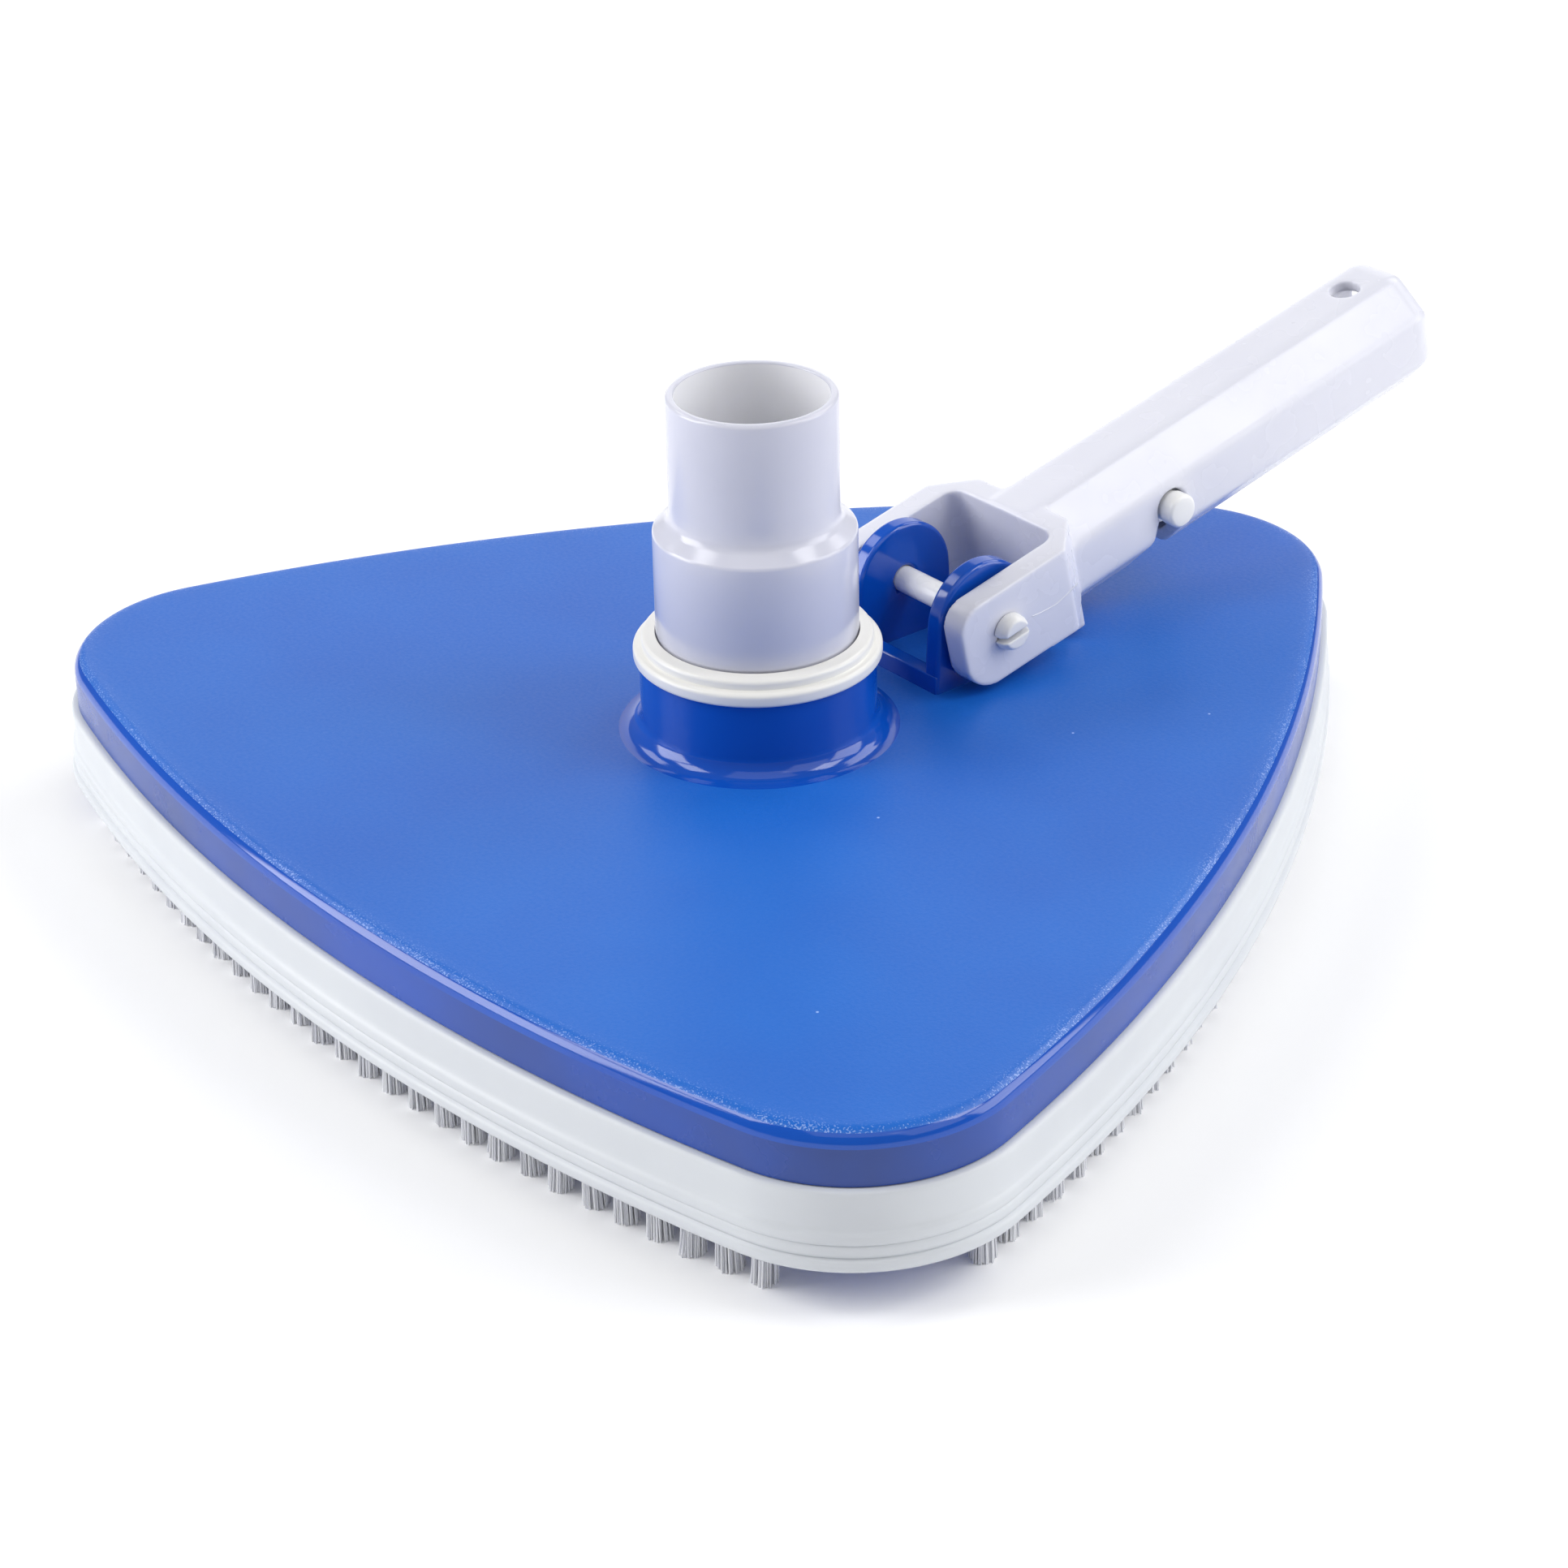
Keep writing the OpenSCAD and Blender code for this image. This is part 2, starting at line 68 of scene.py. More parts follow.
# places taken from the frame
bumperBottom, bumperTop = [corner[2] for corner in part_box("bumper")]
collarBottom, collarTop = [corner[2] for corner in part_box("swivel_collar")]
cuffBottom, cuffTop = [corner[2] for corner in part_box("swivel_cuff")]
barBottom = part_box("brush_bar_rear")[0][2]
hinge = Vector(jointOf("handle_pivot")["pos_m"])
poleAxis = Vector(mountOf("pole_spigot")["axis"]).normalized()
poleEnd = Vector(mountOf("pole_spigot")["pos_m"])
poleUp = Vector((1, 0, 0)).cross(poleAxis).normalized()
handlePitch = math.asin(poleAxis.z)

# the head's outline, the same arcs as the moulded shell: three corner rounds joined by bowed sides
headShape = {
    "cornerReach": 110.4 * mm,
    "cornerRadius": 30.7 * mm,
    "sideRadius": 410 * mm,
    "setback": 2.3 * mm,
    "deckHeight": 34.4 * mm,
    "cornerSteps": 40,
    "sideSteps": 72,
}
deckZ = headShape["deckHeight"]
handleCorner, leftCorner, rightCorner = 90, 210, 330  # degrees
sixth = math.radians(60)
centreReach = headShape["sideRadius"] - headShape["cornerRadius"]
bow = math.asin(headShape["cornerReach"] * math.sin(sixth) / centreReach)
sideCentre = centreReach * math.cos(bow) - headShape["cornerReach"] / 2


def outlinePoints(grow):
    # the outline grown outward: a corner round, then the bowed side that follows it, three times
    points = []
    half = sixth - bow
    h = headShape
    for corner in (handleCorner, leftCorner, rightCorner):
        a = math.radians(corner)
        for reach, direction, radius, start, sweep, steps in (
            (h["cornerReach"], a, h["cornerRadius"], a - half, 2 * half, h["cornerSteps"]),
            (sideCentre, a + 4 * sixth, h["sideRadius"], a + half, 2 * bow, h["sideSteps"]),
        ):
            cx, cy = reach * math.cos(direction), reach * math.sin(direction)
            r = radius + grow
            for k in range(steps):
                t = start + sweep * k / steps
                points.append((cx + r * math.cos(t), cy + r * math.sin(t) - h["setback"]))
    return points


rimAngles = [math.atan2(y, x) for x, y in outlinePoints(0)]


def outlineRing(grow, z):
    return [(x, y, z) for x, y in outlinePoints(grow)]


def roundRing(r, z):
    # a circle about the hose axis with as many points as the outline
    return [(r * math.cos(a), r * math.sin(a), z) for a in rimAngles]


# meshes
def addMesh(name, verts, faces, body, materials, smoothAngle):
    mesh = bpy.data.meshes.new(name)
    mesh.from_pydata([tuple(v) for v in verts], [], faces)
    mesh.update()
    obj = bpy.data.objects.new(name, mesh)
    bpy.context.scene.collection.objects.link(obj)
    for m in materials:
        mesh.materials.append(m)
    shadeByAngle(obj, smoothAngle)
    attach(obj, body)
    return obj


def shadeByAngle(obj, degrees):
    # smooth faces, with sharp edges only where the surface turns by more than this
    for p in obj.data.polygons:
        p.use_smooth = True
    obj.data.set_sharp_from_angle(angle=math.radians(degrees))


def loopRings(rings, closed=True):
    # joins rings of equal length into one skin; closed joins the last ring to the first
    n = len(rings[0])
    verts = [p for ring in rings for p in ring]
    faces = []
    rows = []
    for i in range(len(rings) if closed else len(rings) - 1):
        j = (i + 1) % len(rings)
        for k in range(n):
            m = (k + 1) % n
            faces.append((i * n + k, i * n + m, j * n + m, j * n + k))
            rows.append(i)
    return verts, faces, rows


def flipped(faces):
    return [tuple(reversed(face)) for face in faces]


def latheRings(profile, segments):
    # profile of (radius, height) turned about the hose axis
    turns = [2 * math.pi * k / segments for k in range(segments)]
    return [[(r * math.cos(a), r * math.sin(a), z) for a in turns] for r, z in profile]


def arcProfile(cr, cz, radius, startDegrees, endDegrees, steps):
    points = []
    for k in range(steps + 1):
        a = math.radians(startDegrees + (endDegrees - startDegrees) * k / steps)
        points.append((cr + radius * math.cos(a), cz + radius * math.sin(a)))
    return points


def softenedCopy(node, name, voxel, passes, body, material):
    # copy of a moulded node whose sharp edges are softened as a mould leaves them
    mesh = frame["nodes"][node].data.copy()
    mesh.materials.clear()
    # remeshed square to the handle, so that its straight edges stay straight
    tilt = Matrix.Translation(hinge) @ Matrix.Rotation(handlePitch, 4, "X") @ Matrix.Translation(-hinge)
    mesh.transform(tilt.inverted())
    obj = bpy.data.objects.new(name, mesh)
    bpy.context.scene.collection.objects.link(obj)
    weld = obj.modifiers.new("weld", "WELD")
    weld.merge_threshold = 0.01 * mm
    remesh = obj.modifiers.new("remesh", "REMESH")
    remesh.mode = "VOXEL"
    remesh.voxel_size = voxel
    relax = obj.modifiers.new("relax", "SMOOTH")
    relax.factor = 0.5
    relax.iterations = passes
    # the modifiers are applied, so the mesh is what is seen
    graph = bpy.context.evaluated_depsgraph_get()
    graph.update()
    baked = bpy.data.meshes.new_from_object(obj.evaluated_get(graph))
    obj.modifiers.clear()
    obj.data = baked
    baked.materials.clear()
    baked.materials.append(material)
    shadeByAngle(obj, 60)
    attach(obj, body)
    baked.transform(tilt)
    return obj


# materials
def hexColour(text):
    # sRGB hex to the linear colour that a shader takes
    channels = []
    for i in (0, 2, 4):
        c = int(text[i : i + 2], 16) / 255
        channels.append(c / 12.92 if c <= 0.04045 else ((c + 0.055) / 1.055) ** 2.4)
    return (*channels, 1.0)


def addNode(tree, kind, settings, sockets):
    # a new node, or one that is there already, with its settings, socket values and links
    node = kind if isinstance(kind, bpy.types.Node) else tree.nodes.new(kind)
    for key, value in settings.items():
        setattr(node, key, value)
    for key, value in sockets.items():
        if isinstance(value, bpy.types.Node):
            value = next(out for out in value.outputs if out.enabled)
        if isinstance(value, bpy.types.NodeSocket):
            tree.links.new(value, node.inputs[key])
        else:
            node.inputs[key].default_value = value
    return node


noiseNode = "ShaderNodeTexNoise"
rangeNode = "ShaderNodeMapRange"
mathNode = "ShaderNodeMath"
bumpNode = "ShaderNodeBump"
attributeNode = "ShaderNodeAttribute"
# with these settings a mix takes its factor at 0 and its two colours at 6 and 7
mixNode = "ShaderNodeMix"
inColour = {"data_type": "RGBA"}


def startMaterial(name, values):
    # values are the shader's constants
    material = bpy.data.materials.new(name)
    material.use_nodes = True
    tree = material.node_tree
    shader = addNode(tree, tree.nodes["Principled BSDF"], {}, values)
    place = addNode(tree, "ShaderNodeTexCoord", {}, {}).outputs["Object"]
    return material, tree, shader, place


def wander(tree, place, size, detail, low=0.0, high=1.0, span=0.2):
    # a value that drifts between low and high in blotches of about this size
    blotches = addNode(tree, noiseNode, {}, {"Vector": place, "Scale": 1 / size, "Detail": detail})
    limits = {"From Min": 0.5 - span, "From Max": 0.5 + span, "To Min": low, "To Max": high}
    return addNode(tree, rangeNode, {}, {"Value": blotches, **limits})


blueShell = {
    "deckLow": "0c5bbc",
    "deckHigh": "1066c6",
    "polished": "0a48ae",
    "gloss": "0a50b8",
    "wall": "1d3f8c",
    # pale blue of the dust specks and of the painted glints along the rim
    "dustAndGlint": "a3bcee",
    "ior": 1.53,
    "grain": 0.8 * mm,
    "fineShare": 0.45,
    "grainDepth": 0.05 * mm,
    "cloud": 60 * mm,
    # size of the painted glint flecks, and of the patches they gather in
    "fleck": 0.34 * mm,
    "fleckPatch": 14 * mm,
    "speckSpacing": 11 * mm,
    "speckShare": 0.2,
}


def sparkErodedAbs():
    # blue ABS moulded against a spark-eroded face: a fine matt grain, with painted glints along the rim as
    # pale flecks
    look = blueShell
    values = {"Roughness": 0.44, "IOR": look["ior"]}
    material, tree, shader, place = startMaterial("blueAbsSparkEroded", values)
    grainy = {"Vector": place, "Scale": 1 / look["grain"], "Detail": 3, "Roughness": 0.6}
    coarse = addNode(tree, noiseNode, {}, grainy)
    fine = addNode(
        tree, noiseNode, {}, {**grainy, "Scale": 1 / (look["fineShare"] * look["grain"]), "Detail": 2}
    )
    cloud = wander(tree, place, look["cloud"], 3)
    base = addNode(
        tree, mixNode, inColour, {0: cloud, 6: hexColour(look["deckLow"]), 7: hexColour(look["deckHigh"])}
    )
    # painted glints: pale flecks on the grain's high points, thickest where the round ends and gone 6.5 mm in
    # from the edge
    rim = addNode(tree, attributeNode, {"attribute_name": "rimGlintZone"}, {}).outputs["Fac"]
    high = addNode(
        tree, noiseNode, {}, {"Vector": place, "Scale": 1 / look["fleck"], "Detail": 1, "Roughness": 0.4}
    )
    high = addNode(tree, mathNode, {"operation": "MULTIPLY_ADD"}, {0: rim, 1: 0.16, 2: high})
    patch = wander(tree, place, look["fleckPatch"], 2, -0.06, 0.05, 0.15)
    high = addNode(tree, mathNode, {"operation": "ADD"}, {0: high, 1: patch})
    high = addNode(tree, rangeNode, {}, {"Value": high, "From Min": 0.67, "From Max": 0.73})
    fleck = addNode(tree, mathNode, {"operation": "MULTIPLY"}, {0: high, 1: rim})
    # single dust specks: a cell has one if its random tone is high enough
    cells = addNode(tree, "ShaderNodeTexVoronoi", {}, {"Vector": place, "Scale": 1 / look["speckSpacing"]})
    speck = {"From Min": 0.016, "From Max": 0.028, "To Min": 1, "To Max": 0}
    near = addNode(tree, rangeNode, {}, {"Value": cells.outputs["Distance"], **speck})
    rare = addNode(tree, "ShaderNodeSeparateColor", {}, {"Color": cells.outputs["Color"]})
    chosen = 1 - look["speckShare"]
    rare = addNode(tree, rangeNode, {}, {"Value": rare, "From Min": chosen - 0.02, "From Max": chosen})
    dust = addNode(tree, mathNode, {"operation": "MULTIPLY"}, {0: near, 1: rare})
    pale = addNode(tree, mathNode, {"operation": "MAXIMUM"}, {0: fleck, 1: dust})
    # dust specks and painted glints take the same pale blue
    tone = addNode(tree, mixNode, inColour, {0: pale, 6: base, 7: hexColour(look["dustAndGlint"])})
    uneven = {"Value": coarse, "From Min": 0.3, "From Max": 0.7, "To Min": 0.38, "To Max": 0.52}
    dull = addNode(tree, rangeNode, {}, uneven)
    dull = addNode(tree, mathNode, {"operation": "MULTIPLY_ADD"}, {0: rim, 1: -0.2, 2: dull})
    fine = addNode(tree, rangeNode, {}, {"Value": fine, "From Min": 0.2, "From Max": 0.8, "To Max": 0.45})
    grain = addNode(tree, mathNode, {"operation": "ADD"}, {0: coarse, 1: fine})
    # the grain is deepest at the rim, where it glints
    deep = addNode(tree, mathNode, {"operation": "MULTIPLY_ADD"}, {0: rim, 1: 1.6, 2: 1.0})
    grain = addNode(tree, mathNode, {"operation": "MULTIPLY"}, {0: grain, 1: deep})
    bump = addNode(tree, bumpNode, {}, {"Height": grain, "Distance": look["grainDepth"], "Strength": 0.55})
    addNode(tree, shader, {}, {"Base Color": tone, "Roughness": dull, "Normal": bump})
    return material


def polishedAbs(name, colour, roughness):
    # blue ABS off a polished mould face: clear reflections with a faint ripple
    material, tree, shader, place = startMaterial(name, {"Roughness": roughness, "IOR": blueShell["ior"]})
    cloud = wander(tree, place, 35 * mm, 3)
    tone = addNode(
        tree, mixNode, inColour, {0: cloud, 6: hexColour(colour), 7: hexColour(blueShell["polished"])}
    )
    smear = wander(tree, place, 9 * mm, 3, roughness * 0.85, roughness * 1.2)
    ripple = addNode(tree, noiseNode, {}, {"Vector": place, "Scale": 1 / (12 * mm), "Detail": 1})
    bump = addNode(tree, bumpNode, {}, {"Height": ripple, "Distance": 0.03 * mm, "Strength": 0.5})
    addNode(tree, shader, {}, {"Base Color": tone, "Roughness": smear, "Normal": bump})
    return material


# lower and higher tone, roughness, and how far apart and how deep the mould's ripples are
whiteParts = {
    "lavenderAbsMoulded": ("cdcedb", "d1d2df", 0.16, 14 * mm, 0.03 * mm),
    # the cuff's bore, painted paler than its outside as painted light
    "cuffBorePaintedLight": ("e9e9ee", "ecedf1", 0.3, 14 * mm, 0.03 * mm),
    "whiteAbsMoulded": ("d9dae5", "dcdde7", 0.26, 16 * mm, 0.05 * mm),
    "creamAcetalMoulded": ("e6e5e1", "e9e8e4", 0.3, 9 * mm, 0.02 * mm),
    "whiteVinylExtruded": ("cfd3d9", "d3d7dc", 0.4, 7 * mm, 0.03 * mm),
    "whiteAcetalMoulded": ("e6e6e6", "eaeae9", 0.28, 3 * mm, 0.02 * mm),
    "whitePolypropyleneMoulded": ("d5d8de", "dadce1", 0.45, 5 * mm, 0.02 * mm),
}


def whiteMoulded(name):
    # white plastic from a satin mould: soft highlights, a trace of flow in tone and gloss
    low, high, roughness, ripple, depth = whiteParts[name]
    # a little light goes in and comes out again beside
    soft = {"Subsurface Weight": 0.08, "Subsurface Scale": 0.5, "Subsurface Radius": (0.002, 0.002, 0.0025)}
    material, tree, shader, place = startMaterial(name, {"Roughness": roughness, "IOR": 1.5, **soft})
    flow = wander(tree, place, 22 * mm, 3)
    tone = addNode(tree, mixNode, inColour, {0: flow, 6: hexColour(low), 7: hexColour(high)})
    gloss = wander(tree, place, 9 * mm, 2, roughness - 0.03, roughness + 0.04)
    ripples = addNode(tree, noiseNode, {}, {"Vector": place, "Scale": 1 / ripple, "Detail": 1})
    bump = addNode(tree, bumpNode, {}, {"Height": ripples, "Distance": depth, "Strength": 0.5})
    addNode(tree, shader, {}, {"Base Color": tone, "Roughness": gloss, "Normal": bump})
    return material


def drawnNylon():
    # milky drawn nylon filament: each strand's tone differs a little at random, with painted shade darkening
    # it towards the root
    soft = {"Subsurface Weight": 0.15, "Subsurface Radius": (0.001, 0.001, 0.0012)}
    values = {"Roughness": 0.35, "IOR": 1.53, **soft}
    material, tree, shader, place = startMaterial("nylonFilamentDrawn", values)
    tone = addNode(tree, attributeNode, {"attribute_name": "strandTone"}, {}).outputs["Fac"]
    tone = addNode(tree, mixNode, inColour, {0: tone, 6: hexColour("d0d2da"), 7: hexColour("eff0f4")})
    along = addNode(tree, "ShaderNodeMapping", {}, {"Vector": place, "Scale": (1, 1, 0.1)})
    streak = wander(tree, along, 0.3 * mm, 2, 0.3, 0.45)
    addNode(tree, shader, {}, {"Base Color": tone, "Roughness": streak})
    return material


def stainlessTurned():
    # turned stainless steel: bright grey with a fine tool texture
    material, tree, shader, place = startMaterial("stainlessTurned", {"Roughness": 0.32, "Metallic": 1.0})
    cloud = wander(tree, place, 0.4 * mm, 3)
    tone = addNode(tree, mixNode, inColour, {0: cloud, 6: hexColour("8f9194"), 7: hexColour("b4b6b8")})
    marks = addNode(tree, noiseNode, {}, {"Vector": place, "Scale": 1 / (0.25 * mm), "Detail": 2})
    bump = addNode(tree, bumpNode, {}, {"Height": marks, "Distance": 0.01 * mm, "Strength": 0.5})
    addNode(tree, shader, {}, {"Base Color": tone, "Normal": bump})
    return material


# how lumpy and how pale the two dark materials are
darkParts = {
    "ironSandCast": {
        "roughness": 0.7,
        "ior": 1.5,
        "grain": {"Scale": 1 / (1.2 * mm), "Detail": 4, "Roughness": 0.65},
        "from": (0.3, 0.7),
        "tones": ("1d1e20", "34363a"),
        "bump": {"Distance": 0.2 * mm, "Strength": 0.8},
    },
    "nitrileMoulded": {
        "roughness": 0.55,
        "ior": 1.52,
        "grain": {"Scale": 1 / (2.5 * mm), "Detail": 3},
        "from": (0.35, 0.7),
        "tones": ("101012", "26272a"),
        "bump": {"Distance": 0.02 * mm, "Strength": 0.6},
    },
}


def darkRough(name):
    # cast iron under a dip coat, lumpy and dull, or moulded nitrile, black with a soft greyish bloom
    look = darkParts[name]
    values = {"Roughness": look["roughness"], "IOR": look["ior"]}
    material, tree, shader, place = startMaterial(name, values)
    grain = addNode(tree, noiseNode, {}, {"Vector": place, **look["grain"]})
    low, high = look["from"]
    worn = addNode(tree, rangeNode, {}, {"Value": grain, "From Min": low, "From Max": high})
    dark, pale = look["tones"]
    tone = addNode(tree, mixNode, inColour, {0: worn, 6: hexColour(dark), 7: hexColour(pale)})
    bump = addNode(tree, bumpNode, {}, {"Height": grain, **look["bump"]})
    addNode(tree, shader, {}, {"Base Color": tone, "Normal": bump})
    return material


deckAbs = sparkErodedAbs()
glossAbs = polishedAbs("blueAbsPolished", blueShell["gloss"], 0.1)
wallAbs = polishedAbs("blueAbsSatinWall", blueShell["wall"], 0.24)
cuffAbs = whiteMoulded("lavenderAbsMoulded")
borePaintedLight = whiteMoulded("cuffBorePaintedLight")
forkAbs = whiteMoulded("whiteAbsMoulded")
collarAbs = whiteMoulded("creamAcetalMoulded")
bumperVinyl = whiteMoulded("whiteVinylExtruded")
pinAcetal = whiteMoulded("whiteAcetalMoulded")
barPlastic = whiteMoulded("whitePolypropyleneMoulded")
nylon = drawnNylon()
steel = stainlessTurned()
iron = darkRough("ironSandCast")
nitrile = darkRough("nitrileMoulded")
print("materials ready")


# blue shell
shellForm = {
    "deckRound": 3.0 * mm,
    "coveRadius": 4.0 * mm,
    "neckRadius": 22.3 * mm,
    "neckShoulder": 14.9 * mm,
    "neckTop": 16.4 * mm,
    "lipRadius": 20.9 * mm,
    "boreRadius": 18.4 * mm,
    "throatWall": 2.4 * mm,
    "wallThickness": 2.4 * mm,
    "seat": 0.8 * mm,
    "edgeBreak": 0.3 * mm,
    "wallRise": 4 * mm,
    "baseTop": 13.6 * mm,
    "deckInsets": [3.6 * mm, 4.6 * mm, 6.5 * mm, 10 * mm, 15 * mm, 21 * mm],
    "deckShares": (0.2, 0.45, 0.75),
    "coveApron": 1.5 * mm,
    # how far in from the edge the painted glints and deeper grain reach
    "glintReach": 6.5 * mm,
    "roundSteps": 12,
    "glossSteps": 7,
    "coveSteps": 10,
}


def buildShell():
    f = shellForm
    edge = f["edgeBreak"]
    ceiling = deckZ - f["wallThickness"]
    inner = -f["seat"] - f["wallThickness"]
    shoulder, neckTop = deckZ + f["neckShoulder"], deckZ + f["neckTop"]
    coveEnd = f["neckRadius"] + f["coveRadius"]
    throat = f["boreRadius"] + f["throatWall"]
    rings, kinds = [], []

    def put(ring, kind):
        rings.append(ring)
        kinds.append(kind)

    put(outlineRing(-f["seat"], f["baseTop"]), "wall")
    put(outlineRing(-f["seat"], bumperTop), "wall")
    put(outlineRing(-edge, bumperTop), "wall")
    put(outlineRing(0, bumperTop + edge), "wall")
    put(outlineRing(0, bumperTop + f["wallRise"]), "wall")
    for k in range(f["roundSteps"] + 1):
        a = math.radians(90 * k / f["roundSteps"])
        grow = -f["deckRound"] * (1 - math.cos(a))
        z = deckZ - f["deckRound"] * (1 - math.sin(a))
        put(outlineRing(grow, z), "gloss" if k < f["glossSteps"] else "deck")
    for inset in f["deckInsets"]:
        put(outlineRing(-inset, deckZ), "deck")
    # the flat deck narrows to the neck's cove
    wide = outlinePoints(-f["deckInsets"][-1])
    apron = coveEnd + f["coveApron"]
    for share in f["deckShares"]:
        ring = []
        for (x, y), a in zip(wide, rimAngles):
            ring.append((x + (apron * math.cos(a) - x) * share, y + (apron * math.sin(a) - y) * share, deckZ))
        put(ring, "deck")
    put(roundRing(apron, deckZ), "deck")
    put(roundRing(coveEnd + edge, deckZ), "gloss")
    for k in range(f["coveSteps"] + 1):
        a = math.radians(90 * k / f["coveSteps"])
        r = f["neckRadius"] + f["coveRadius"] * (1 - math.sin(a))
        put(roundRing(r, deckZ + f["coveRadius"] * (1 - math.cos(a))), "gloss")
    # neck, lip, bore and throat
    for r, z in (
        (f["neckRadius"], shoulder - edge),
        (f["neckRadius"] - edge, shoulder),
        (f["lipRadius"], shoulder),
        (f["lipRadius"], neckTop),
        (f["boreRadius"], neckTop),
        (f["boreRadius"], f["baseTop"]),
        (throat, f["baseTop"]),
        (throat, ceiling),
    ):
        put(roundRing(r, z), "gloss")
    put(outlineRing(inner, ceiling), "gloss")
    put(outlineRing(inner, f["baseTop"]), "gloss")
    verts, faces, rows = loopRings(rings)
    obj = addMesh("blueShell", verts, faces, "head", [deckAbs, glossAbs, wallAbs], 40)
    order = ("deck", "gloss", "wall")
    for p, row in zip(obj.data.polygons, rows):
        p.material_index = order.index(kinds[row])
    # how strongly the rim takes painted glints and a deeper, glossier grain, strongest where the round meets
    # the deck
    glintZone = obj.data.attributes.new("rimGlintZone", "FLOAT", "POINT")
    edgeX, edgeY = outlinePoints(0)[0]
    levels = []
    for ring, kind in zip(rings, kinds):
        inset = math.hypot(ring[0][0] - edgeX, ring[0][1] - edgeY)
        level = max(0.0, 1 - inset / f["glintReach"]) ** 2 if kind == "deck" else 0.0
        levels += [level] * len(ring)
    glintZone.data.foreach_set("value", levels)
    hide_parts("top_shell")


# two ears and the low wall between them, rising out of the deck
earForm = {
    "outer": 13.6 * mm,
    "thick": 3.9 * mm,
    "radius": 11.7 * mm,
    "footFront": 32.4 * mm,
    "footBack": 57.4 * mm,
    "sink": 1.2 * mm,
    "holeRadius": 2.7 * mm,
    "roundSteps": 40,
    "edgeRound": 0.9 * mm,
    "wallHigh": 3.6 * mm,
    "wallThick": 3.3 * mm,
    "wallInset": 0.2 * mm,
    "wallSetback": 0.05 * mm,
    "wallEdgeRound": 0.35 * mm,
}


def buildHingeEars():
    f = earForm
    low = deckZ - f["sink"]
    cy, cz, r = hinge.y, hinge.z, f["radius"]

    def touchAngle(foot, side):
        # where the straight edge up from a foot touches the ear's round top
        dy, dz = foot - cy, low - cz
        return math.atan2(dz, dy) + side * math.acos(r / math.hypot(dy, dz))

    start = touchAngle(f["footBack"], 1)
    end = touchAngle(f["footFront"], -1) + 2 * math.pi
    outline = [(f["footBack"], low)]
    for k in range(f["roundSteps"] + 1):
        a = start + (end - start) * k / f["roundSteps"]
        outline.append((cy + r * math.cos(a), cz + r * math.sin(a)))
    outline.append((f["footFront"], low))
    # ring of the pin hole, matched to the outline by angle
    hole = []
    for y, z in outline:
        a = math.atan2(z - cz, y - cy)
        hole.append((cy + f["holeRadius"] * math.cos(a), cz + f["holeRadius"] * math.sin(a)))
    for side, label in ((-1, "Left"), (1, "Right")):
        outside, inside = side * f["outer"], side * (f["outer"] - f["thick"])
        loops = ((outside, outline), (inside, outline), (inside, hole), (outside, hole))
        verts, faces, rows = loopRings([[(x, y, z) for y, z in loop] for x, loop in loops])
        if side > 0:
            faces = flipped(faces)
        ear = addMesh("hingeEar" + label, verts, faces, "head", [glossAbs], 30)
        edge = ear.modifiers.new("edge", "BEVEL")
        edge.width = f["edgeRound"]
        edge.segments = 5
        edge.limit_method = "ANGLE"
        edge.angle_limit = math.radians(50)
        edge.harden_normals = True
    # low wall
    x = f["outer"] - f["wallInset"]
    y0, y1 = f["footFront"] + f["wallSetback"], f["footFront"] + f["wallThick"]
    plan = ((-x, y0), (x, y0), (x, y1), (-x, y1))
    verts = [(px, py, z) for z in (low, deckZ + f["wallHigh"]) for px, py in plan]
    faces = [(0, 3, 2, 1), (4, 5, 6, 7), (0, 1, 5, 4), (1, 2, 6, 5), (2, 3, 7, 6), (3, 0, 4, 7)]
    wall = addMesh("hingeEarWall", verts, faces, "head", [glossAbs], 30)
    edge = wall.modifiers.new("edge", "BEVEL")
    edge.width = f["wallEdgeRound"]
    edge.segments = 3


buildShell()
buildHingeEars()
print("shell built")


# bumper's section: (mm that it stands out, share of its height), from the top down the outside
bumperForm = {
    "band": [
        (-0.8, 1.0), (0.35, 1.0), (0.9, 0.995), (1.25, 0.975), (1.38, 0.945), (1.4, 0.91),
        (1.28, 0.84), (1.16, 0.74), (1.1, 0.64), (1.14, 0.56), (1.28, 0.51), (1.5, 0.488),
    ],
    "firstBead": [(1.78, 0.468), (1.88, 0.44), (1.88, 0.38), (1.8, 0.345), (1.62, 0.33)],
    "secondBead": [(1.84, 0.315), (1.98, 0.29), (2.0, 0.23), (1.92, 0.2), (1.66, 0.183), (1.62, 0.172)],
    "lip": [(1.9, 0.158), (2.28, 0.14), (2.38, 0.11), (2.4, 0.07), (2.3, 0.03), (2.0, 0.005), (1.6, 0.0)],
    "inside": [(-1.0, 0.0), (-1.6, 0.0), (-1.6, 0.033), (-0.8, 0.033)],
}


def buildBumper():
    section = [point for part in bumperForm.values() for point in part]
    high = bumperTop - bumperBottom
    rings = [outlineRing(out * mm, bumperBottom + share * high) for out, share in reversed(section)]
    verts, faces, rows = loopRings(rings)
    obj = addMesh("bumperBand", verts, faces, "head", [bumperVinyl], 50)
    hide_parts("bumper")


buildBumper()
print("bumper built")


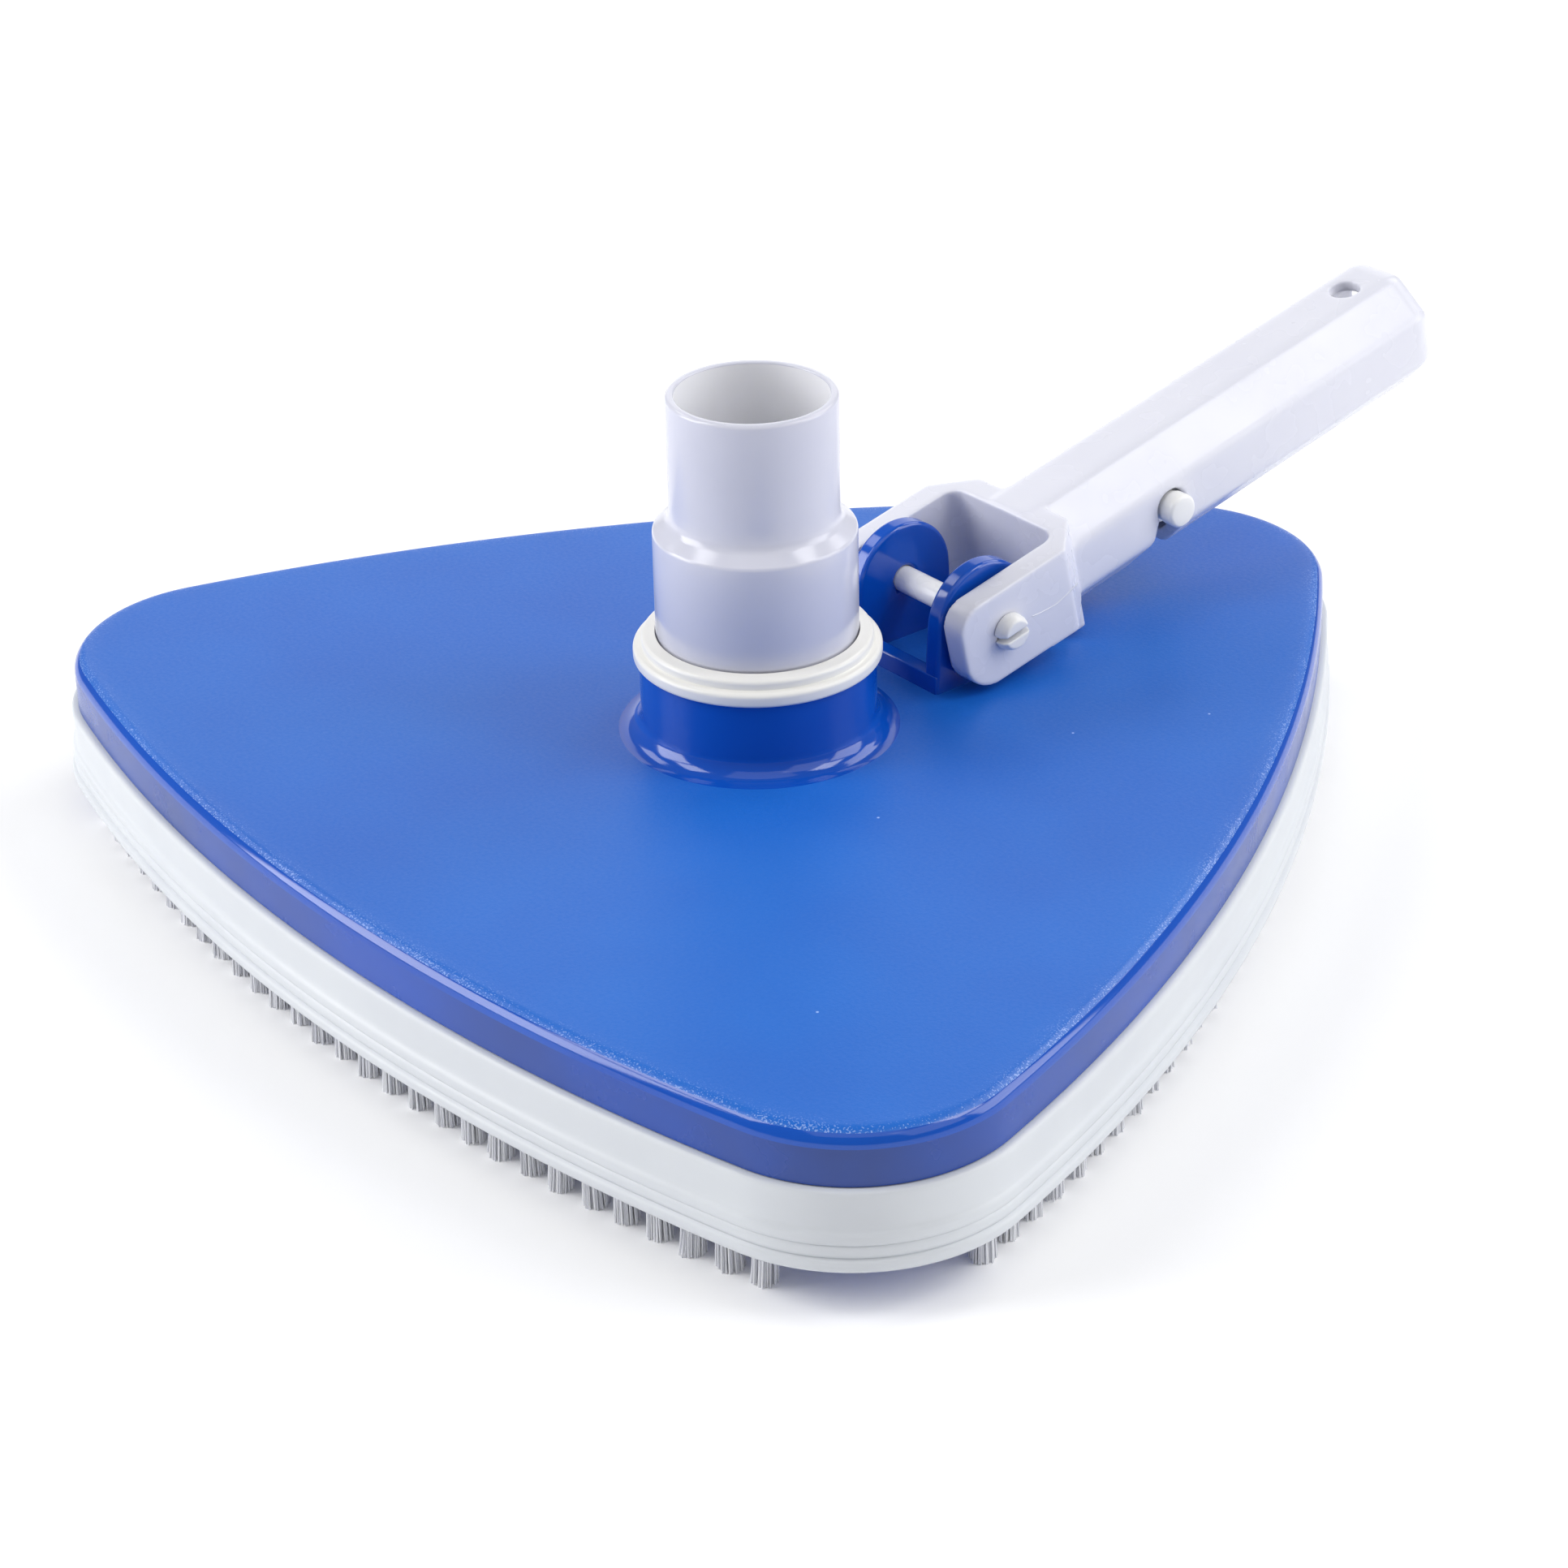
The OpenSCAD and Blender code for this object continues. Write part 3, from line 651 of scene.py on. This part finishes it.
# hose cuff
cuffForm = {
    "bigRadius": 19.05 * mm,
    "smallRadius": 15.9 * mm,
    "bigBore": 15.85 * mm,
    "smallBore": 14.3 * mm,
    "shoulder": 40.7 * mm,
    "shoulderRound": 1.1 * mm,
    "rimRound": 0.85 * mm,
    "boreRound": 0.4 * mm,
    "shoulderDrop": 0.5 * mm,
    "straightEnd": 6 * mm,
    "boreMouth": 8 * mm,
    "boreTaperTop": 1.5 * mm,
    "boreTaperFoot": 2.1 * mm,
    "segments": 128,
    "skirtRadius": 18.35 * mm,
    # skirt with the seal's groove, then the flange: (radius, height over the deck) in mm
    "skirt": [
        (18.35, 8.9), (16.1, 8.9), (16.1, 11.1), (18.35, 11.1), (18.35, 16.7),
        (20.6, 16.7), (20.6, 18.2), (18.85, 18.2), (18.85, 20.2), (19.05, 20.5),
    ],
    # cone and the fillet into the upper step: (mm outside that step, height over the shoulder in mm)
    "cone": [(0.95, 1.75), (0.42, 2.4), (0.14, 3.1), (0.03, 4.0), (0, 6)],
}


def buildCuff():
    f = cuffForm
    shoulder = deckZ + f["shoulder"]
    edge, rim, lip = f["shoulderRound"], f["rimRound"], f["boreRound"]
    profile = [(f["skirtRadius"], cuffBottom)]
    profile += [(r * mm, deckZ + z * mm) for r, z in f["skirt"]]
    profile += arcProfile(f["bigRadius"] - edge, shoulder - f["shoulderDrop"], edge, 0, 48, 7)
    profile += [(f["smallRadius"] + r * mm, shoulder + z * mm) for r, z in f["cone"]]
    profile.append((f["smallRadius"], cuffTop - f["straightEnd"]))
    # soft lip at the rim
    profile += arcProfile(f["smallRadius"] - rim, cuffTop - rim, rim, 0, 90, 8)
    profile += arcProfile(f["smallBore"] + lip, cuffTop - lip, lip, 90, 180, 5)
    boreFrom = len(profile) - 1
    profile += [(f["smallBore"], cuffTop - f["boreMouth"]), (f["smallBore"], shoulder + f["boreTaperTop"])]
    profile += [(f["bigBore"], shoulder - f["boreTaperFoot"]), (f["bigBore"], cuffBottom)]
    verts, faces, rows = loopRings(latheRings(profile, f["segments"]))
    obj = addMesh("hoseCuff", verts, faces, "cuff", [cuffAbs, borePaintedLight], 40)
    # the bore is painted paler than the outside: painted light for the light caught between its walls
    for p, row in zip(obj.data.polygons, rows):
        p.material_index = 1 if row >= boreFrom else 0
    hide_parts("swivel_cuff")


# collar of two rings: radii and heights in mm, those of the lower ring over the collar's foot
collarForm = {
    "bore": 19.15,
    "skirtBore": 21.0,
    "skirtTop": 18.5,
    "foot": 22.9,
    "lowerRounds": [(22.7, 0.7, 0.7, -70, 0, 5), (22.5, 1.8, 0.9, 0, 80, 7)],
    "groove": [(22.1, 2.74), (21.85, 2.95), (21.8, 3.3)],
    "upperRound": (20.9, -1.25, 0.9, 0, 75, 7),
    "top": [(20.4, -0.3), (19.8, -0.12), (19.25, 0), (19.15, -0.15)],
    "segments": 128,
}


def buildCollar():
    f = collarForm

    def rounded(foot, r, z, radius, start, end, steps):
        return arcProfile(r * mm, foot + z * mm, radius * mm, start, end, steps)

    profile = [(f["skirtBore"] * mm, collarBottom), (f["foot"] * mm, collarBottom)]
    for form in f["lowerRounds"]:
        profile += rounded(collarBottom, *form)
    profile += [(r * mm, collarBottom + z * mm) for r, z in f["groove"]]
    profile += rounded(collarTop, *f["upperRound"])
    profile += [(r * mm, collarTop + z * mm) for r, z in f["top"]]
    profile += [(r * mm, deckZ + f["skirtTop"] * mm) for r in (f["bore"], f["skirtBore"])]
    verts, faces, rows = loopRings(latheRings(profile, f["segments"]))
    obj = addMesh("swivelCollarRing", verts, faces, "head", [collarAbs], 40)
    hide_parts("swivel_collar")


buildCuff()
buildCollar()
print("cuff and collar built")


# brush tufts
brushForm = {
    "rowInset": 4.5 * mm,
    "rootRise": 2.0 * mm,
    "pitchDegrees": 1.052,
    "perRow": 29,
    "rootRadius": 1.953 * mm,
    "tipRadius": 2.35 * mm,
    "strandRadius": 0.19 * mm,  # thicker than a real 0.25 mm strand, so that a tuft looks full
    "strandTaper": 0.1,
    "strands": 126,
    "sides": 5,
    "levels": (0.0, 0.35, 0.7, 1.0),
    "flarePower": 1.3,
    "goldenTurn": 2.39996,
    "scatter": 0.25,
    "bend": 0.35 * mm,
    "shortBy": 0.35 * mm,
    "strayShare": 0.05,
}


def buildBrushRow(node, name, cornerDegrees, seed):
    f = brushForm
    rng = random.Random(seed)
    a = math.radians(cornerDegrees)
    cx = sideCentre * math.cos(a)
    cy = sideCentre * math.sin(a) - headShape["setback"]
    rowRadius = headShape["sideRadius"] - f["rowInset"]
    root = barBottom + f["rootRise"]
    n = f["sides"]
    verts, faces, tones = [], [], []
    for t in range(f["perRow"]):
        turn = a + math.pi + math.radians((t - (f["perRow"] - 1) / 2) * f["pitchDegrees"])
        ux, uy = math.cos(turn), math.sin(turn)
        px, py = cx + rowRadius * ux, cy + rowRadius * uy
        leanOut = rng.uniform(-0.15, 0.35) * mm
        leanAlong = rng.uniform(-0.3, 0.3) * mm
        for s in range(f["strands"]):
            # spread evenly over the tuft, with a little scatter
            q = math.sqrt((s + 0.5) / f["strands"])
            w = s * f["goldenTurn"] + rng.uniform(-f["scatter"], f["scatter"])
            stray = rng.random() < f["strayShare"]
            flare = f["tipRadius"] * (rng.uniform(1.02, 1.2) if stray else rng.uniform(0.93, 1.03))
            r0, r1 = q * f["rootRadius"], q * flare
            tone = rng.uniform(0.15, 1.0)
            short = rng.uniform(0, f["shortBy"]) if rng.random() < 0.5 else 0.0
            curl = rng.uniform(-1, 1) * f["bend"]
            first = len(verts)
            for level in f["levels"]:
                r = r0 + (r1 - r0) * level ** f["flarePower"]
                out = r * math.cos(w) + leanOut * level**2 + curl * math.sin(math.pi * level) * 0.3
                along = r * math.sin(w) + leanAlong * level**2
                z = root + (short - root) * level
                x0 = px + out * ux - along * uy
                y0 = py + out * uy + along * ux
                thick = f["strandRadius"] * (1.0 - f["strandTaper"] * level)
                for k in range(n):
                    b = 2 * math.pi * k / n + w
                    verts.append((x0 + thick * math.cos(b), y0 + thick * math.sin(b), z))
                    # painted shade: each strand darker towards its root, under the bar
                    tones.append(tone * (0.75 + 0.25 * level))
            last = len(verts) - n
            for low in range(first, last, n):
                high = low + n
                for k in range(n):
                    m = (k + 1) % n
                    faces.append((low + k, high + k, high + m, low + m))
            faces.append(tuple(first + k for k in range(n)))
            faces.append(tuple(last + k for k in reversed(range(n))))
    obj = addMesh(name, verts, faces, "head", [nylon], 70)
    attribute = obj.data.attributes.new("strandTone", "FLOAT", "POINT")
    attribute.data.foreach_set("value", tones)
    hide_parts(node)


# each row lies on the side across from its corner
buildBrushRow("bristles_rear", "brushTuftsRear", handleCorner, 11)
buildBrushRow("bristles_right", "brushTuftsRight", leftCorner, 12)
buildBrushRow("bristles_left", "brushTuftsLeft", rightCorner, 13)
print("brush rows built")


# handle and pin
handleForm = {
    "voxel": 0.4 * mm,
    "passes": 8,
    "pinVoxel": 0.2 * mm,
    "pinPasses": 4,
    "axisDrop": 3.4 * mm,
    "endRound": 4 * mm,
    "endDraw": 0.09,
}


def buildHandle():
    f = handleForm
    handle = softenedCopy(
        "handle_fork", "clipHandle", f["voxel"], f["passes"], "handle", forkAbs
    )
    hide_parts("handle_fork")
    # the tube's far end draws in a little, as the mould rounds it off
    centre = hinge - poleUp * f["axisDrop"]
    roundFrom = (poleEnd - hinge).dot(poleAxis) - f["endRound"]
    for v in handle.data.vertices:
        along = (v.co - centre).dot(poleAxis)
        into = (along - roundFrom) / f["endRound"]
        if into > 0:
            axisPoint = centre + poleAxis * along
            v.co = axisPoint + (v.co - axisPoint) * (1 - f["endDraw"] * min(into, 1) ** 2)
    pin = softenedCopy(
        "pivot_pin", "hingePin", f["pinVoxel"], f["pinPasses"], "handle", pinAcetal
    )
    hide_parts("pivot_pin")


# parting line that the mould leaves on the outside of the right arm: (along, up) in the handle's frame, in mm
flashForm = {
    "path": [(6.2, -0.5), (8.2, -0.9), (10.4, -1.15), (12.5, -1.3), (15.4, -0.7), (18.4, 0.0)],
    "wide": 0.22,
    "high": 0.1,
    "sunk": 0.05,
}


def buildFlashLine():
    f = flashForm
    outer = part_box("handle_fork")[1][0]
    section = ((-f["wide"], -f["sunk"]), (0, f["high"]), (f["wide"], -f["sunk"]))
    rings = []
    for along, up in f["path"]:
        ring = []
        for across, out in section:
            place = hinge + poleAxis * along * mm + poleUp * (up + across) * mm
            ring.append((outer + out * mm, place.y, place.z))
        rings.append(ring)
    verts, faces, rows = loopRings(rings, closed=False)
    last = len(verts) - 3
    faces = flipped(faces) + [(0, 1, 2), (last + 2, last + 1, last)]
    addMesh("clipHandleFlash", verts, faces, "handle", [forkAbs], 30)


buttonForm = {
    "flangeRadius": 4.05 * mm,
    "flangeEdge": 3.7 * mm,
    "flangeThick": 1.2 * mm,
    "flangeRound": 0.3 * mm,
    "stemRadius": 3.15 * mm,
    "stemTop": 12.7 * mm,
    "studRadius": 3.45 * mm,
    "studTop": 1.0 * mm,
    "crown": (2.6 * mm, 0.92 * mm, 0.85 * mm),
    "crownFlat": 1.5 * mm,
    "segments": 48,
}


def buildButton(side):
    f = buttonForm
    name = "right" if side > 0 else "left"
    low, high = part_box("clip_button_" + name)
    centreY, centreZ = (low[1] + high[1]) / 2, (low[2] + high[2]) / 2
    tip = high[0] if side > 0 else -low[0]
    seat = low[0] if side > 0 else -high[0]
    flange = seat + f["flangeThick"]
    crownReach, crownDrop, crownRadius = f["crown"]
    profile = [(f["flangeEdge"], seat), (f["flangeRadius"], seat + f["flangeRound"])]
    profile += [(f["flangeRadius"], flange), (f["stemRadius"], flange), (f["stemRadius"], f["stemTop"])]
    profile += [(f["studRadius"], f["stemTop"] + 0.1 * mm), (f["studRadius"], tip - f["studTop"])]
    profile += arcProfile(crownReach, tip - crownDrop, crownRadius, 5, 80, 6)
    profile += [(f["crownFlat"], tip - 0.01 * mm)]
    turns = [2 * math.pi * k / f["segments"] for k in range(f["segments"])]
    rings = []
    for r, x in profile:
        rings.append([(side * x, centreY + r * math.cos(b), centreZ + r * math.sin(b)) for b in turns])
    verts, faces, rows = loopRings(rings, closed=False)
    n = f["segments"]
    # both ends closed by a fan
    for x, first, flip in ((seat, 0, False), (tip, len(verts) - n, True)):
        verts.append((side * x, centreY, centreZ))
        fan = [(len(verts) - 1, first + (k + 1) % n, first + k) for k in range(n)]
        faces += flipped(fan) if flip else fan
    if side < 0:
        faces = flipped(faces)
    label = "clipButton" + name.capitalize()
    obj = addMesh(label, verts, faces, "button_" + name, [pinAcetal], 40)
    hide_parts("clip_button_" + name)


# V strip inside the tube, a leg to each button
springForm = {
    "thick": 0.9 * mm,
    "wide": 8 * mm,
    "bendRadius": 4 * mm,
    "bendAlong": 86 * mm,
    "legAlong": 47.5 * mm,
    "legFree": 6 * mm,
    "drop": 3.4 * mm,
    "legSteps": 24,
    "bendSteps": 9,
}


def buildSpring():
    f = springForm
    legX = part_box("clip_spring")[1][0]
    path = []
    for k in range(f["legSteps"] + 1):
        share = k / f["legSteps"]
        along = f["legAlong"] + (f["bendAlong"] - f["legAlong"]) * share
        path.append((legX + (f["bendRadius"] - legX) * share, along))
    for k in range(1, f["bendSteps"] + 1):
        b = math.radians(90 * k / f["bendSteps"])
        path.append((f["bendRadius"] * math.cos(b), f["bendAlong"] + f["bendRadius"] * math.sin(b)))
    for side, label in ((1, "right"), (-1, "left")):
        rings = []
        for i, (x, along) in enumerate(path):
            nextX, nextAlong = path[min(i + 1, len(path) - 1)]
            lastX, lastAlong = path[max(i - 1, 0)]
            length = math.hypot(nextX - lastX, nextAlong - lastAlong)
            # inward, square to the strip
            inX, inAlong = (lastAlong - nextAlong) / length, (nextX - lastX) / length
            ring = []
            for depth, rise in ((0, -0.5), (0, 0.5), (1, 0.5), (1, -0.5)):
                px = x + inX * f["thick"] * depth
                pa = along + inAlong * f["thick"] * depth
                up = rise * f["wide"] - f["drop"]
                ring.append(tuple(hinge + Vector((side * px, 0, 0)) + poleAxis * pa + poleUp * up))
            rings.append(ring)
        verts, faces, rows = loopRings(rings, closed=False)
        last = len(verts) - 4
        faces += [(0, 1, 2, 3), (last + 3, last + 2, last + 1, last)]
        if side > 0:
            faces = flipped(faces)
        obj = bpy.data.objects.new("clipSpring" + label.capitalize(), bpy.data.meshes.new("clipSpring"))
        obj.data.from_pydata(verts, [], faces)
        bpy.context.scene.collection.objects.link(obj)
        obj.data.materials.append(pinAcetal)
        shadeByAngle(obj, 40)
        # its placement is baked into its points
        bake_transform(obj)
    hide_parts("clip_spring")


buildHandle()
buildFlashLine()
buildButton(1)
buildButton(-1)
buildSpring()
print("handle built")


# finishes of the CAD pieces that are seen as they are
keptFinish = {
    "base_plate": glossAbs,
    "brush_bar_rear": barPlastic,
    "brush_bar_right": barPlastic,
    "brush_bar_left": barPlastic,
    "brush_screws": steel,
    "base_screws": steel,
    "ballast_weight_front": iron,
    "ballast_weight_right": iron,
    "ballast_weight_left": iron,
    "swivel_seal": nitrile,
}
for node, material in keptFinish.items():
    mesh = frame["nodes"][node].data
    mesh.materials.clear()
    mesh.materials.append(material)
print("finishes set")


# floor, light and camera
studio = {
    "floorSize": 14,
    "floorLow": "f7f7f8",
    "floorHigh": "fcfcfd",
    "floorRoughness": 0.9,
    "floorGlow": 0.06,
    "fibre": 2 * mm,
    "worldLevel": 0.22,
    # azimuth and elevation in degrees, distance, size, power
    "panels": {
        "leftPanel": (-118, 48, 1.5, 0.5, 4.5),
        "leftLowPanel": (-128, 20, 1.6, 0.9, 15.0),
        "leftBackPanel": (-168, 40, 1.5, 0.45, 2.2),
        "rightPanel": (40, 49, 1.5, 0.5, 4.5),
        "rightLowPanel": (50, 20, 1.6, 0.9, 9.0),
        "rightBackPanel": (90, 40, 1.5, 0.7, 5.0),
        "backPanel": (142, 14, 2.2, 1.8, 10.5),
        "frontPanel": (-38, 62, 1.7, 1.2, 3.5),
        "frontRightPanel": (10, 38, 1.7, 1.0, 3.5),
    },
    "panelAim": 0.03,
    "cameraPlace": (0.5194, -0.4094, 0.3783),
    "cameraRight": (0.63161, 0.77508, -0.01779),
    "cameraUp": (-0.35861, 0.31242, 0.87965),
    "cameraAhead": (-0.68736, 0.54922, -0.47528),
    "lens": 90.49,
}


def buildFloor():
    # white paper, faintly lit through
    s = studio["floorSize"] / 2
    mesh = bpy.data.meshes.new("studioFloor")
    mesh.from_pydata([(-s, -s, 0), (s, -s, 0), (s, s, 0), (-s, s, 0)], [], [(0, 1, 2, 3)])
    floor = bpy.data.objects.new("studioFloor", mesh)
    bpy.context.scene.collection.objects.link(floor)
    values = {"Roughness": studio["floorRoughness"], "IOR": 1.5, "Emission Color": (1, 1, 1, 1)}
    material, tree, shader, place = startMaterial(
        "whitePaperSweep", {**values, "Emission Strength": studio["floorGlow"]}
    )
    fibre = addNode(tree, noiseNode, {}, {"Vector": place, "Scale": 1 / studio["fibre"], "Detail": 3})
    low, high = hexColour(studio["floorLow"]), hexColour(studio["floorHigh"])
    tone = addNode(tree, mixNode, inColour, {0: fibre, 6: low, 7: high})
    addNode(tree, shader, {}, {"Base Color": tone})
    mesh.materials.append(material)


def addPanel(name, azimuth, elevation, distance, size, power):
    # soft square panel aimed at the head
    light = bpy.data.lights.new(name, "AREA")
    light.shape = "SQUARE"
    light.size = size
    light.energy = power
    obj = bpy.data.objects.new(name, light)
    a, e = math.radians(azimuth), math.radians(elevation)
    where = Vector((math.cos(a) * math.cos(e), math.sin(a) * math.cos(e), math.sin(e))) * distance
    obj.location = where + Vector((0, 0, studio["panelAim"]))
    obj.rotation_euler = (-where).to_track_quat("-Z", "Y").to_euler()
    bpy.context.scene.collection.objects.link(obj)


buildFloor()
for name, form in studio["panels"].items():
    addPanel(name, *form)

world = bpy.data.worlds.new("studioWorld")
bpy.context.scene.world = world
world.use_nodes = True
worldValues = {"Color": (1, 1, 1, 1), "Strength": studio["worldLevel"]}
addNode(world.node_tree, world.node_tree.nodes["Background"], {}, worldValues)
bpy.context.scene.view_settings.view_transform = "Standard"

camera = bpy.data.cameras.new("studioCamera")
camera.lens = studio["lens"]
camera.sensor_width = 36
camera.clip_start = 0.01
camera.clip_end = 50
cameraObject = bpy.data.objects.new("studioCamera", camera)
turned = Matrix((studio["cameraRight"], studio["cameraUp"], [-c for c in studio["cameraAhead"]])).transposed()
cameraObject.matrix_world = Matrix.Translation(studio["cameraPlace"]) @ turned.to_4x4()
bpy.context.scene.collection.objects.link(cameraObject)
bpy.context.scene.camera = cameraObject
print("stage set")
